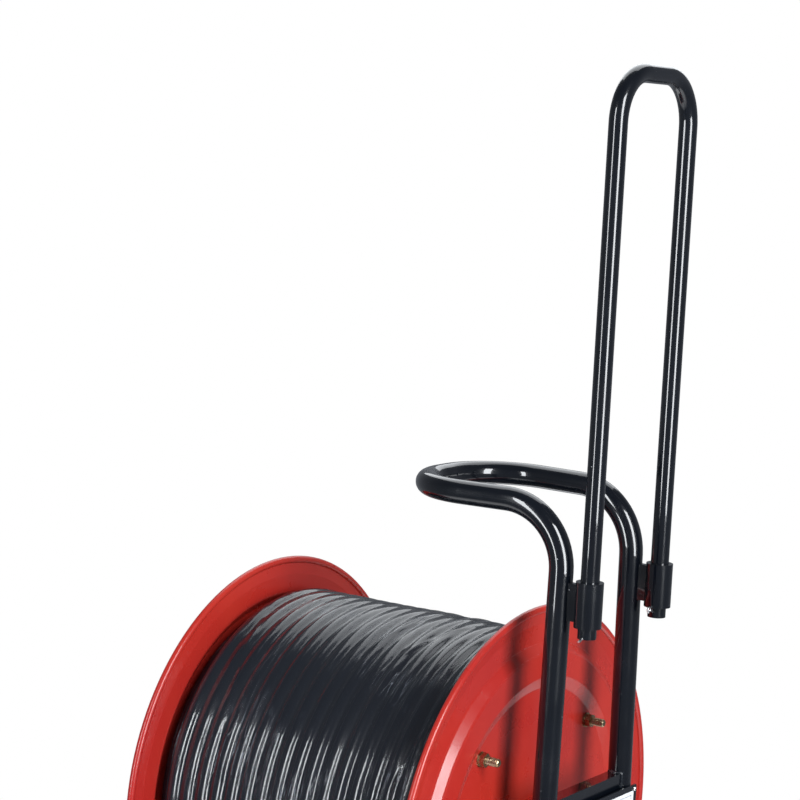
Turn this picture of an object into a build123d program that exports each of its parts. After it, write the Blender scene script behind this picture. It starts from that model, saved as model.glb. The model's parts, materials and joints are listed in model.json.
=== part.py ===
"""Mobile cable reel trolley.

A steel drum of cable turns on a shaft between a rear and a front tube frame. The trolley rolls on two
rear wheels, rests on two front feet and is pulled by a telescopic handle. Millimetres, +Z up, the drum
axis along Y, the pull handle at -Y and the crank at +Y. The origin is on the floor, under the middle of
the whole trolley.
"""

import os
from math import acos, asin, cos, hypot, radians, sin, sqrt

from build123d import *

os.makedirs("parts", exist_ok=True)

# ---------------------------------------------------------------- driving dimensions
flange_d = 500.0
floor_clearance = 50.0  # under the rims of the drum
drum_width = 350.0  # outside of one rolled rim to the outside of the other
barrel_d = 320.0
cable_d = 18.6
cable_layers = 3
turns_short = 1  # the outer layer ends this many turns before the far flange
frame_gap = 58.0  # rim plane to the centreline of either frame
tube_d = 25.0
tube_wall = 2.0
handle_tube_d = 19.0
handle_wall = 1.5
handle_height = 812.0  # top of the handle above the shaft, pulled right out
wheel_d = 160.0
wheel_width = 40.0
crank_throw = 150.0

edge_chamfer = 1.0

# ---------------------------------------------------------------- clearances
run_fit = 0.05  # radial, a shaft in its bearing
slide_fit = 0.3  # radial, the handle in its sleeves
air = 0.3  # between faces of pieces that move past each other
side_play = 0.5  # along an axle
pin_fit = 0.2  # radial, a plug's pin in its socket

# ---------------------------------------------------------------- sheet and drum
sheet = 1.5
rim_bead_d = 8.0
rim_r = flange_d / 2
axle_height = rim_r + floor_clearance  # the drum's shaft above the floor
rim_y = drum_width / 2  # rim plane, from the middle of the drum
barrel_r = barrel_d / 2
dish_inset = 3.0  # flat centre of a flange, inside the rim plane
rib_rise = 6.0  # pressed ring, above the flat centre
rib_fall = 8.5  # from the pressed ring down to the plain zone
lip_width = 20.0  # from the edge of the rim to the plain zone
rib_start = 1.0  # outside the barrel
crest_start = 0.21  # of the face between the barrel and the lip
crest_end = 0.57
rib_end = 0.71
press_bend_r = 4.0
winding_side_gap = 1.0
winding_r = barrel_r + cable_layers * cable_d
centre_y = rim_y - dish_inset  # outer face of a flange's flat centre
inner_y = centre_y - sheet  # its inner face, where the barrel ends

# ---------------------------------------------------------------- shaft, hubs and bearings
shaft_r = 12.5
hub_r = 45.0
hub_plate = 4.0
boss_r = 21.0
boss_length = 14.0
hub_screw_count = 4
hub_screw_pcd = 66.0
hub_screw_r = 3.0
hub_screw_head_r = 6.0
hub_screw_head = 4.2
hub_screw_stand = 4.0  # beyond the flange's sheet
tie_rod_r = 4.0
tie_rod_count = 4
tie_rod_start = 45.0
tie_rod_wall = 2.5  # between a tie rod and the barrel
tie_rod_ring = barrel_r - sheet - tie_rod_r - tie_rod_wall
nut_r = 7.5
nut_height = 6.5
nut_washer_r = 8.0
nut_washer = 1.6
tie_rod_stand = 23.0  # thread beyond the flange
bearing_plate = 4.0
bearing_plate_height = 58.0
bearing_plate_gap = 2.0  # round the shaft
bearing_length = 18.0
bearing_flange = 6.0
bearing_r = 27.0
bearing_nose_r = 23.0
bearing_chamfer = 1.5
bearing_bolt_span = 84.0
bearing_ear_r = 8.0
bolt_r = 4.0
bolt_head = 5.0
bolt_stand = 8.0  # beyond the plate
shaft_past_bearing = 2.0
crank_gap = 14.0  # front bearing to the crank hub

# ---------------------------------------------------------------- frame
frame_y = rim_y + frame_gap  # frame centreline, from the middle of the drum
tube_r = tube_d / 2
upright_half = 80.0  # half the spacing of the rear uprights at the shaft's height
upright_splay = 0.024  # they close up towards the top by this much a millimetre
loop_z = 371.0  # loop handle above the shaft
loop_half = 85.0
loop_reach = 193.0  # from the uprights to the loop's end
loop_bend_r = 66.0
loop_corner_r = 70.0
wheel_r = wheel_d / 2
wheel_axle_r = 8.0
rim_side_gap = 2.0  # an end of the axle tube beyond the rim, where the tyre passes it
base_half = 165.0
base_corner_r = 45.0
base_z = 55.0  # centreline of the base tube above the floor
front_foot_inset = 14.0  # from the start of the base tube's corner
front_leg_half = 100.0
front_top_half = 65.0
front_top_z = 45.0  # above the shaft
front_corner_r = 40.0
front_plate_overhang = 5.0
cross_bar_height = 25.0
cross_bar_depth = 15.0
cross_bar_wall = 1.5
upper_bar_top = 69.5  # above the shaft
lower_bar_top = -78.0
panel_half = 91.5
panel_top = 55.0
panel_bottom = -72.0
panel_sheet = 2.0
panel_corner_r = 3.0
rivet_edge = 4.5  # from the panel's edges
rivet_r = 2.6
rivet_head = 1.6
label_side = 7.0
label_edge = 6.0
label_height = 104.0
label_sheet = 0.4
label_corner_r = 2.0

# ---------------------------------------------------------------- pull handle
handle_r = handle_tube_d / 2
handle_half = 73.5
handle_offset = 34.0  # behind the uprights
handle_corner_r = 50.0
sleeve_length = 46.0
sleeve_r = 14.0
sleeve_bottom = 254.0  # above the shaft
handle_below_sleeve = 11.0
web_thickness = 8.0
web_inset = 4.0
cotter_r = 1.3
cotter_length = 33.0
cotter_tilt = 18.0
cotter_rise = 4.0  # above the end of the tube
cotter_eye_r = 2.6
cotter_eye_wire_r = 1.04
cotter_eye_gap = 2.0

# ---------------------------------------------------------------- feet
post_r = 11.0
post_length = 12.0
post_sink = 6.0  # into the rubber
foot_top_r = 16.0
foot_base_r = 20.0
foot_edge_r = 2.0

# ---------------------------------------------------------------- crank, wheels, sockets
crank_hub_r = 20.0
crank_hub_length = 22.0
crank_arm_width = 26.0
crank_arm_thick = 8.0
set_screw_head_r = 6.4
set_screw_head = 5.0
grip_r = 15.0
grip_length = 100.0
grip_pin_r = 5.0
grip_cap = 4.0
grip_cap_r = 10.0
grip_end_drop = 3.0
grip_waist_drop = 2.0
grip_swell = 0.12  # where the grip is thickest, of its length from either end
rim_disc_r = 56.0
rim_hub_r = 17.0
rim_web = 6.0
rim_flare = 4.0  # the ring under the tyre
rim_fillet = 2.0
rim_windows = 5
washer = 3.0
tyre_bead = 4.0
tyre_wall = 6.0
tyre_shoulder = 8.0
tyre_crown_drop = 1.0
tyre_groove = 3.0
cap_length = 7.0
cap_skirt = 6.0
cap_top = 1.0
cap_sheet = 2.0
socket_offset = 98.0
socket_side = 54.0
socket_depth = 14.0
socket_corner_r = 6.0
socket_back = 1.0
ear = 3.0
ear_inset = 1.0
lid_thick = 3.0
lid_tab = 22.0
lid_tab_width = 5.0
lid_tab_rise = 2.5
hinge_pin_r = 1.5
hinge_knuckle_r = 3.0
plug_r = 20.0
plug_length = 90.0
plug_angle = -18.0  # place of the plug round the drum, from +X
plug_pin_r = 2.4
plug_pin_span = 19.0
plug_pin_length = 19.0
plug_gland = 3.0  # round the cable
plug_neck = 4.0
plug_body = 0.55  # of the plug's length, the rest is its taper
plug_chamfer = 1.5
plug_side_gap = 4.0  # to the flange
tail_run = 45.0
tail_bend_r = 62.0
well_r = 18.5
well_depth = 11.0
lock_screw_r = 5.0
lock_boss_r = 8.0
lock_boss_end = 31.0  # below the shaft's axis
lock_gap = 6.0
lock_knob_r = 16.0
lock_knob_height = 16.0
lock_boss_top = 4.0  # below the shaft's surface
lock_tip = 2.0  # of the screw, into the knob
lobe_count = 6
lobe_r = 4.0
lobe_inset = 3.0

# ---------------------------------------------------------------- places worked out
sleeve_y = -(frame_y + handle_offset)
front_bearing_y = frame_y - tube_r
front_bearing_end = front_bearing_y + bearing_length
crank_y = front_bearing_end + crank_gap
arm_y = crank_y + crank_hub_length - crank_arm_thick
crank_front = crank_y + crank_hub_length
grip_front = crank_front + side_play + grip_length + side_play + grip_cap
rear_reach = frame_y + wheel_r
drum_y = (rear_reach - grip_front) / 2  # puts the origin under the middle of the trolley
wheel_axle_z = wheel_r
tyre_reach = sqrt(max(wheel_r**2 - frame_gap**2, 0))  # the tyre's half height in the plane of the rim
rim_drop = axle_height - wheel_axle_z - tyre_reach
axle_tube_half = sqrt(rim_r**2 - rim_drop**2) + rim_side_gap
lock_y = front_bearing_y + bearing_length / 2
shaft = (0, drum_y, axle_height)
drum_axis = Axis(shaft, (0, 1, 0))
wheel_axis = Axis((0, drum_y - frame_y, wheel_axle_z), (1, 0, 0))


def across(y, x=0.0, z=0.0):
    """A plane across the drum axis at y from the drum's middle. It faces -Y, its x is +X, its y is +Z."""
    return Plane((x, drum_y + y, axle_height + z), x_dir=(1, 0, 0), z_dir=(0, -1, 0))


def section():
    """A plane along the drum axis for profiles: its x is +Y from the drum's middle, its y is +Z."""
    return Plane((0, drum_y, axle_height), x_dir=(0, 1, 0), z_dir=(1, 0, 0))


def place(x, y, z):
    """A point from the middle of the drum."""
    return (x, drum_y + y, axle_height + z)


def upright_x(z):
    """Half the spacing of the rear uprights at a height above the shaft."""
    return upright_half - upright_splay * z


def save(part, name):
    part.label = name
    export_step(part, f"parts/{name}.step")


def bent_tube(points, radii, outer, wall):
    """A round tube bent along straight runs with an arc at each corner."""
    with BuildPart() as tube:
        with BuildLine() as route:
            FilletPolyline(*points, radius=radii)
        start = route.line @ 0
        with BuildSketch(Plane(start, z_dir=route.line % 0)):
            Circle(outer)
            Circle(outer - wall, mode=Mode.SUBTRACT)
        sweep(path=route.line)
    return tube.part


# ================================================================ frame tubes
upright_foot = wheel_axle_z - axle_height
rear_points = [
    place(-upright_x(upright_foot), -frame_y, upright_foot),
    place(-upright_x(loop_z), -frame_y, loop_z),
    place(-loop_half, -frame_y + loop_reach, loop_z),
    place(loop_half, -frame_y + loop_reach, loop_z),
    place(upright_x(loop_z), -frame_y, loop_z),
    place(upright_x(upright_foot), -frame_y, upright_foot),
]
with BuildPart() as rear_frame_tube:
    add(bent_tube(rear_points, [loop_bend_r, loop_corner_r, loop_corner_r, loop_bend_r], tube_r, tube_wall))
    with BuildSketch(Plane(wheel_axis.position, z_dir=wheel_axis.direction)):
        Circle(tube_r)
    extrude(amount=axle_tube_half, both=True, mode=Mode.SUBTRACT)
save(rear_frame_tube.part, "rear_frame_tube")

with BuildPart() as rear_axle_tube:
    with BuildSketch(Plane(wheel_axis.position, z_dir=wheel_axis.direction)):
        Circle(tube_r)
        Circle(wheel_axle_r, mode=Mode.SUBTRACT)
    extrude(amount=axle_tube_half, both=True)
save(rear_axle_tube.part, "rear_axle_tube")

base_drop = base_z - axle_height
base_points = [
    place(-base_half, -frame_y, base_drop),
    place(-base_half, frame_y, base_drop),
    place(base_half, frame_y, base_drop),
    place(base_half, -frame_y, base_drop),
]
with BuildPart() as base_tube:
    add(bent_tube(base_points, [base_corner_r, base_corner_r], tube_r, tube_wall))
    with BuildSketch(Plane(wheel_axis.position, z_dir=wheel_axis.direction)):
        Circle(tube_r)
    extrude(amount=axle_tube_half, both=True, mode=Mode.SUBTRACT)
    # only the tube in front of the axle is kept: the cut leaves a thin crescent behind it
    keep = base_tube.part.solids().sort_by(SortBy.VOLUME)[-1]
save(keep, "base_tube")

front_points = [
    place(-front_leg_half, frame_y, base_drop),
    place(-front_top_half, frame_y, front_top_z),
    place(front_top_half, frame_y, front_top_z),
    place(front_leg_half, frame_y, base_drop),
]
with BuildPart() as front_frame_tube:
    add(bent_tube(front_points, [front_corner_r, front_corner_r], tube_r, tube_wall))
    with BuildSketch(Plane(place(0, frame_y, base_drop), z_dir=(1, 0, 0))):
        Circle(tube_r)
    extrude(amount=base_half - base_corner_r + tube_r, both=True, mode=Mode.SUBTRACT)
save(front_frame_tube.part.solids().sort_by(SortBy.VOLUME)[-1], "front_frame_tube")


def cross_bar(top, name):
    """A box-section bar between the rear uprights, its ends cut to sit round them."""
    middle = top - cross_bar_height / 2
    with BuildPart() as bar:
        with BuildSketch(Plane(place(0, -frame_y, middle), x_dir=(0, 1, 0), z_dir=(1, 0, 0))):
            Rectangle(cross_bar_depth, cross_bar_height)
            Rectangle(
                cross_bar_depth - 2 * cross_bar_wall,
                cross_bar_height - 2 * cross_bar_wall,
                mode=Mode.SUBTRACT,
            )
        extrude(amount=upright_x(middle), both=True)
        for side in (-1, 1):
            foot = place(side * upright_x(upright_foot), -frame_y, upright_foot)
            head = place(side * upright_x(loop_z), -frame_y, loop_z)
            run = Vector(*head) - Vector(*foot)
            with BuildSketch(Plane(foot, z_dir=run)):
                Circle(tube_r)
            extrude(amount=run.length, mode=Mode.SUBTRACT)
    save(bar.part.solids().sort_by(SortBy.VOLUME)[-1], name)


cross_bar(upper_bar_top, "upper_cross_bar")
cross_bar(lower_bar_top, "lower_cross_bar")


# ================================================================ bearings
def bearing_carrier(side, half_width, name):
    """A flat plate on the drum side of a frame, with the hole for the shaft."""
    with BuildPart() as plate:
        with BuildSketch(across(side * (frame_y - tube_r))):
            RectangleRounded(2 * half_width, bearing_plate_height, tube_r)
            Circle(shaft_r + bearing_plate_gap, mode=Mode.SUBTRACT)
            with GridLocations(bearing_bolt_span, 0, 2, 1):
                Circle(bolt_r, mode=Mode.SUBTRACT)
        extrude(amount=side * bearing_plate)
    save(plate.part, name)


def flanged_bearing(side, name):
    """A two-bolt flanged bearing on the plate, bored to a running fit on the shaft."""
    base = side * (frame_y - tube_r)
    with BuildPart() as bearing:
        with BuildSketch(across(base)):
            SlotOverall(bearing_bolt_span + 2 * bearing_ear_r, 2 * bearing_ear_r)
            Circle(bearing_r)
        extrude(amount=-side * bearing_flange)
        with BuildSketch(across(base)):
            Circle(bearing_nose_r)
        extrude(amount=-side * bearing_length)
        nose = bearing.faces().filter_by(Axis.Y).sort_by(Axis.Y)[-1 if side > 0 else 0]
        chamfer(nose.edges(), bearing_chamfer)
        if side > 0:
            # boss for the drum's locking screw, under the front bearing
            with BuildSketch(Plane(place(0, lock_y, -(shaft_r + lock_boss_top)))):
                Circle(lock_boss_r)
            extrude(amount=-(lock_boss_end - shaft_r - lock_boss_top))
            with BuildSketch(Plane(place(0, lock_y, 0))):
                Circle(lock_screw_r)
            extrude(amount=-lock_boss_end, mode=Mode.SUBTRACT)
        with BuildSketch(across(base)):
            Circle(shaft_r + run_fit)
            with GridLocations(bearing_bolt_span, 0, 2, 1):
                Circle(bolt_r)
        extrude(amount=-side * bearing_length, mode=Mode.SUBTRACT)
    save(bearing.part, name)


def bearing_bolts(side, name):
    """The two bolts of a bearing: head outside, nut on the plate's drum side."""
    base = side * (frame_y - tube_r)
    with BuildPart() as bolts:
        with BuildSketch(across(base + side * bearing_flange)):
            with GridLocations(bearing_bolt_span, 0, 2, 1):
                RegularPolygon(nut_r, 6)
        extrude(amount=-side * bolt_head)
        with BuildSketch(across(base + side * bearing_flange)):
            with GridLocations(bearing_bolt_span, 0, 2, 1):
                Circle(bolt_r)
        extrude(amount=side * (bearing_flange + bearing_plate + bolt_stand))
        with BuildSketch(across(base - side * bearing_plate)):
            with GridLocations(bearing_bolt_span, 0, 2, 1):
                RegularPolygon(nut_r, 6)
        extrude(amount=side * nut_height)
    save(bolts.part, name)


rear_plate_half = upright_half + tube_r
front_plate_half = front_top_half + tube_r + front_plate_overhang
bearing_carrier(-1, rear_plate_half, "rear_bearing_plate")
bearing_carrier(1, front_plate_half, "front_bearing_plate")
flanged_bearing(-1, "rear_bearing")
flanged_bearing(1, "front_bearing")
bearing_bolts(-1, "rear_bearing_bolts")
bearing_bolts(1, "front_bearing_bolts")

# ================================================================ name panel
panel_y = -(frame_y + tube_r)
panel_height = panel_top - panel_bottom
with BuildPart() as name_panel:
    with BuildSketch(across(panel_y, z=(panel_top + panel_bottom) / 2)):
        RectangleRounded(2 * panel_half, panel_height, panel_corner_r)
    extrude(amount=panel_sheet)
save(name_panel.part, "name_panel")

label_half = panel_half - label_side
label_middle = panel_top - label_edge - label_height / 2
with BuildPart() as name_label:
    with BuildSketch(across(panel_y - panel_sheet, z=label_middle)):
        RectangleRounded(2 * label_half, label_height, label_corner_r)
    extrude(amount=label_sheet)
save(name_label.part, "name_label")

# a rivet in each corner, beside the label, into the uprights
with BuildPart() as panel_rivets:
    with BuildSketch(across(panel_y - panel_sheet, z=(panel_top + panel_bottom) / 2)):
        with GridLocations(2 * (panel_half - rivet_edge), panel_height - 2 * rivet_edge, 2, 2):
            Circle(rivet_r)
    extrude(amount=rivet_head)
    chamfer(panel_rivets.edges().group_by(Axis.Y)[0], rivet_head / 2)
save(panel_rivets.part, "panel_rivets")


# ================================================================ guide sleeves and pull handle
def guide_sleeve(side, name):
    """A sleeve for one leg of the handle, with the web that holds it off the upright."""
    x = side * handle_half
    with BuildPart() as sleeve:
        with BuildSketch(Plane(place(x, sleeve_y, sleeve_bottom))):
            Circle(sleeve_r)
        extrude(amount=sleeve_length)
        with BuildSketch(Plane(place(x, sleeve_y + handle_offset / 2, sleeve_bottom + web_inset))):
            Rectangle(web_thickness, handle_offset)
        extrude(amount=sleeve_length - 2 * web_inset)
        foot = place(side * upright_x(upright_foot), -frame_y, upright_foot)
        run = Vector(*place(side * upright_x(loop_z), -frame_y, loop_z)) - Vector(*foot)
        with BuildSketch(Plane(foot, z_dir=run)):
            Circle(tube_r)
        extrude(amount=run.length, mode=Mode.SUBTRACT)
        with BuildSketch(Plane(place(x, sleeve_y, sleeve_bottom))):
            Circle(handle_r + slide_fit)
        extrude(amount=sleeve_length, mode=Mode.SUBTRACT)
    save(sleeve.part.solids().sort_by(SortBy.VOLUME)[-1], name)


guide_sleeve(-1, "guide_sleeve_left")
guide_sleeve(1, "guide_sleeve_right")

handle_bottom = sleeve_bottom - handle_below_sleeve
cotter_z = handle_bottom + cotter_rise
handle_points = [
    place(-handle_half, sleeve_y, handle_bottom),
    place(-handle_half, sleeve_y, handle_height - handle_r),
    place(handle_half, sleeve_y, handle_height - handle_r),
    place(handle_half, sleeve_y, handle_bottom),
]


def cotter_plane(side):
    """The plane across a cotter pin at its middle: the pin drops outward."""
    tilt = radians(cotter_tilt)
    return Plane(place(side * handle_half, sleeve_y, cotter_z), z_dir=(side * cos(tilt), 0, -sin(tilt)))


with BuildPart() as pull_handle:
    add(bent_tube(handle_points, [handle_corner_r, handle_corner_r], handle_r, handle_wall))
    for side in (-1, 1):
        with BuildSketch(cotter_plane(side)):
            Circle(cotter_r + slide_fit)
        extrude(amount=sleeve_r, both=True, mode=Mode.SUBTRACT)
save(pull_handle.part, "pull_handle")


def cotter_pin(side, name):
    """A split pin through the handle's end, which stops it at the sleeve."""
    with BuildPart() as pin:
        with BuildSketch(cotter_plane(side)):
            Circle(cotter_r)
        extrude(amount=cotter_length / 2, both=True)
        eye = cotter_plane(side).offset(-cotter_length / 2 - cotter_eye_gap)
        with Locations(Plane(eye.origin, z_dir=(0, 1, 0))):
            Torus(cotter_eye_r, cotter_eye_wire_r)
    save(pin.part, name)


cotter_pin(-1, "cotter_pin_left")
cotter_pin(1, "cotter_pin_right")


# ================================================================ feet
def foot(side, name):
    """A steel post under the base tube, pressed into a rubber foot."""
    corner = base_half - base_corner_r
    x = side * (corner - front_foot_inset)
    bottom = base_z - tube_r - post_length
    with BuildPart() as post:
        with BuildSketch(Plane((x, drum_y + frame_y, bottom - post_sink))):
            Circle(post_r)
        extrude(amount=post_length + post_sink + tube_r)
        with BuildSketch(Plane(place(0, frame_y, base_drop), z_dir=(1, 0, 0))):
            Circle(tube_r)
        extrude(amount=corner + 2 * tube_r, both=True, mode=Mode.SUBTRACT)
    save(post.part.solids().sort_by(SortBy.VOLUME)[-1], f"foot_post_{name}")
    with BuildPart() as rubber:
        with BuildSketch(Plane((x, drum_y + frame_y, 0))):
            Circle(foot_base_r)
        with BuildSketch(Plane((x, drum_y + frame_y, bottom))):
            Circle(foot_top_r)
        loft()
        with BuildSketch(Plane((x, drum_y + frame_y, bottom))):
            Circle(post_r)
        extrude(amount=-post_sink, mode=Mode.SUBTRACT)
        fillet(rubber.faces().sort_by(Axis.Z)[0].edges(), foot_edge_r)
    save(rubber.part, f"foot_{name}")


foot(-1, "left")
foot(1, "right")

# ================================================================ wheels
hub_inner = axle_tube_half + washer + side_play
hub_outer = hub_inner + wheel_width + washer
cap_inner = hub_outer + side_play
wheel_x = (hub_inner + hub_outer) / 2

with BuildPart() as wheel_axle:
    with BuildSketch(Plane(wheel_axis.position, z_dir=wheel_axis.direction)):
        Circle(wheel_axle_r)
    extrude(amount=cap_inner + cap_length - cap_sheet, both=True)
save(wheel_axle.part, "wheel_axle")


def wheel_plane(x):
    return Plane((x, drum_y - frame_y, wheel_axle_z), x_dir=(0, 1, 0), z_dir=(1, 0, 0))


def wheel_profile(side):
    """For profiles of one wheel: its x is outward along the axle from the wheel's middle, its y is out."""
    return Plane((side * wheel_x, drum_y - frame_y, wheel_axle_z), x_dir=(side, 0, 0), z_dir=(0, -side, 0))


def wheel(side, name):
    """A solid rubber tyre on a moulded rim with round windows."""
    half = wheel_width / 2
    bead_half = half - tyre_bead
    with BuildPart() as tyre:
        with BuildSketch(wheel_profile(side)):
            with BuildLine():
                Polyline(
                    (-bead_half, rim_disc_r),
                    (-half, rim_disc_r + tyre_wall),
                    (-half, wheel_r - tyre_shoulder),
                    (-half + tyre_wall, wheel_r - tyre_crown_drop),
                    (-half + tyre_shoulder, wheel_r),
                    (half - tyre_shoulder, wheel_r),
                    (half - tyre_wall, wheel_r - tyre_crown_drop),
                    (half, wheel_r - tyre_shoulder),
                    (half, rim_disc_r + tyre_wall),
                    (bead_half, rim_disc_r),
                    close=True,
                )
            make_face()
            with Locations((-half / 4, wheel_r), (half / 4, wheel_r)):
                Rectangle(tyre_groove, 2 * tyre_groove, mode=Mode.SUBTRACT)
        revolve(axis=wheel_axis)
    save(tyre.part, f"tyre_{name}")
    hub_half = (hub_outer - hub_inner) / 2
    web_half = rim_web / 2
    bore = wheel_axle_r + run_fit
    flare_r = rim_disc_r - rim_flare
    with BuildPart() as rim:
        with BuildSketch(wheel_profile(side)):
            with BuildLine():
                Polyline(
                    (-hub_half, bore),
                    (-hub_half, rim_hub_r),
                    (-web_half, rim_hub_r + rim_fillet),
                    (-web_half, flare_r - rim_fillet),
                    (-bead_half, flare_r),
                    (-bead_half, rim_disc_r),
                    (bead_half, rim_disc_r),
                    (bead_half, flare_r),
                    (web_half, flare_r - rim_fillet),
                    (web_half, rim_hub_r + rim_fillet),
                    (hub_half, rim_hub_r),
                    (hub_half, bore),
                    close=True,
                )
            make_face()
        revolve(axis=wheel_axis)
        with BuildSketch(wheel_plane(side * wheel_x)):
            with PolarLocations((rim_hub_r + flare_r) / 2, rim_windows):
                Circle((flare_r - rim_hub_r) / 4)
        extrude(amount=half, both=True, mode=Mode.SUBTRACT)
    save(rim.part, f"rim_{name}")
    cap_start = cap_inner - wheel_x
    cap_end = cap_start + cap_length
    with BuildPart() as cap:
        with BuildSketch(wheel_profile(side)):
            with BuildLine():
                Polyline(
                    (cap_start, wheel_axle_r),
                    (cap_start, wheel_axle_r + cap_skirt),
                    (cap_start + cap_sheet, wheel_axle_r + cap_skirt),
                    (cap_end, wheel_axle_r + cap_top),
                    (cap_end, 0),
                    (cap_end - cap_sheet, 0),
                    (cap_end - cap_sheet, wheel_axle_r),
                    close=True,
                )
            make_face()
        revolve(axis=wheel_axis)
    save(cap.part, f"axle_cap_{name}")


wheel(-1, "left")
wheel(1, "right")
with BuildPart() as wheel_washers:
    for side in (-1, 1):
        with BuildSketch(wheel_plane(side * axle_tube_half)):
            Circle(wheel_axle_r + cap_skirt)
            Circle(wheel_axle_r, mode=Mode.SUBTRACT)
        extrude(amount=side * washer)
save(wheel_washers.part, "wheel_washers")

# ================================================================ drum
face = rim_r - lip_width - barrel_r  # what the pressed rings share between barrel and lip
rib_in = barrel_r + rib_start
rib_crest_in = barrel_r + crest_start * face
rib_crest_out = barrel_r + crest_end * face
rib_out = barrel_r + rib_end * face


def flange(side, name):
    """A pressed disc with a raised ring, a plain zone, a lip and a rim rolled over a wire."""
    centre = centre_y - sheet / 2
    crest = centre + rib_rise
    plain = crest - rib_fall
    bead_y = rim_y - rim_bead_d / 2
    bead_r = rim_r - rim_bead_d / 2
    outline = [
        (centre, shaft_r + 1),
        (centre, rib_in),
        (crest, rib_crest_in),
        (crest, rib_crest_out),
        (plain, rib_out),
        (plain, rim_r - lip_width),
        (bead_y, bead_r),
    ]
    with BuildPart() as disc:
        with BuildSketch(section()):
            with BuildLine():
                FilletPolyline(*[(side * y, r) for y, r in outline], radius=press_bend_r)
            trace(line_width=sheet)
            with Locations((side * bead_y, bead_r)):
                Circle(rim_bead_d / 2)
        revolve(axis=drum_axis)
        with BuildSketch(across(side * centre_y)):
            with PolarLocations(tie_rod_ring, tie_rod_count, start_angle=tie_rod_start):
                Circle(tie_rod_r)
            with PolarLocations(hub_screw_pcd / 2, hub_screw_count):
                Circle(hub_screw_r)
        extrude(amount=2 * sheet, both=True, mode=Mode.SUBTRACT)
    save(disc.part, name)


flange(-1, "near_flange")
flange(1, "far_flange")

with BuildPart() as drum_barrel:
    with BuildSketch(across(0)):
        Circle(barrel_r)
        Circle(barrel_r - sheet, mode=Mode.SUBTRACT)
    extrude(amount=inner_y, both=True)
save(drum_barrel.part, "drum_barrel")

winding_half = inner_y - winding_side_gap
turn_count = int(2 * winding_half / cable_d)
turn_pitch = 2 * winding_half / turn_count
outer_end = winding_half - turns_short * turn_pitch
valley_r = winding_r - cable_d / 4
with BuildPart() as cable_winding:
    with BuildSketch(section()):
        with BuildLine():
            for turn in range(turn_count):
                top_r = winding_r if turn < turn_count - turns_short else winding_r - cable_d
                side_r = top_r - cable_d / 4
                start = -winding_half + turn * turn_pitch
                ThreePointArc(
                    (start, side_r), (start + turn_pitch / 2, top_r), (start + turn_pitch, side_r)
                )
            Line((outer_end, valley_r), (outer_end, valley_r - cable_d))
            Polyline(
                (winding_half, valley_r - cable_d),
                (winding_half, barrel_r),
                (-winding_half, barrel_r),
                (-winding_half, valley_r),
            )
        make_face()
    revolve(axis=drum_axis)
save(cable_winding.part, "cable_winding")


# ---------------------------------------------------------------- plug on the cable's outer end
def round_drum(angle, y):
    """A plane across the shaft, turned so that its x runs along the turn at an angle from +X."""
    turn = radians(angle)
    origin = (0, drum_y + y, axle_height)
    return Plane(origin, x_dir=(-sin(turn), 0, cos(turn)), z_dir=(0, -1, 0))


plug_middle = winding_r + air + plug_r
plug_y = centre_y - sheet + rib_rise - rib_fall - plug_side_gap - plug_r
tail_r = cable_d / 2
last_turn_y = outer_end - turn_pitch / 2
tail_bend = -(plug_length / 2 + tail_run)
turn_centre = winding_r - tail_r
bend_distance = hypot(tail_bend, plug_middle)
leave_angle = acos(turn_centre / bend_distance) + asin(-tail_bend / bend_distance)
tail_plane = round_drum(plug_angle, plug_y)


def on_tail(along, out, y=plug_y):
    """A point from its place along the plug's axis, its distance out from the shaft and its y."""
    return tail_plane.from_local_coords((along, -out, plug_y - y))


tail_points = [
    on_tail(-turn_centre * sin(leave_angle), turn_centre * cos(leave_angle), last_turn_y),
    on_tail(tail_bend, plug_middle),
    on_tail(-plug_length / 2, plug_middle),
]
with BuildPart() as cable_tail:
    with BuildLine() as tail_route:
        FilletPolyline(*tail_points, radius=tail_bend_r)
    with BuildSketch(Plane(tail_route.line @ 0, z_dir=tail_route.line % 0)):
        Circle(tail_r)
    sweep(path=tail_route.line)
    add(cable_winding.part, mode=Mode.SUBTRACT)
save(cable_tail.part.solids().sort_by(SortBy.VOLUME)[-1], "cable_tail")

plug_face = Plane(on_tail(-plug_length / 2, plug_middle), z_dir=tail_plane.x_dir)
plug_shoulder = plug_face.offset((1 - plug_body) * plug_length)
with BuildPart() as cable_plug:
    with BuildSketch(plug_face):
        Circle(tail_r + plug_gland)
    with BuildSketch(plug_shoulder):
        Circle(plug_r - plug_neck)
    loft()
    with BuildSketch(plug_shoulder):
        Circle(plug_r)
    extrude(amount=plug_body * plug_length)
    chamfer(cable_plug.faces().filter_by(GeomType.PLANE).sort_by(Axis.Z)[-1].edges(), plug_chamfer)
    with BuildSketch(plug_face.offset(plug_length)):
        with GridLocations(0, plug_pin_span, 1, 2):
            Circle(plug_pin_r)
    extrude(amount=plug_pin_length)
save(cable_plug.part, "cable_plug")


# ================================================================ shaft, hubs and tie rods
with BuildPart() as drum_shaft:
    with BuildSketch(across(-(front_bearing_end + shaft_past_bearing))):
        Circle(shaft_r)
    extrude(amount=-(front_bearing_end + shaft_past_bearing + crank_front))
    chamfer(drum_shaft.edges().filter_by(GeomType.CIRCLE), edge_chamfer)
save(drum_shaft.part, "drum_shaft")


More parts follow.
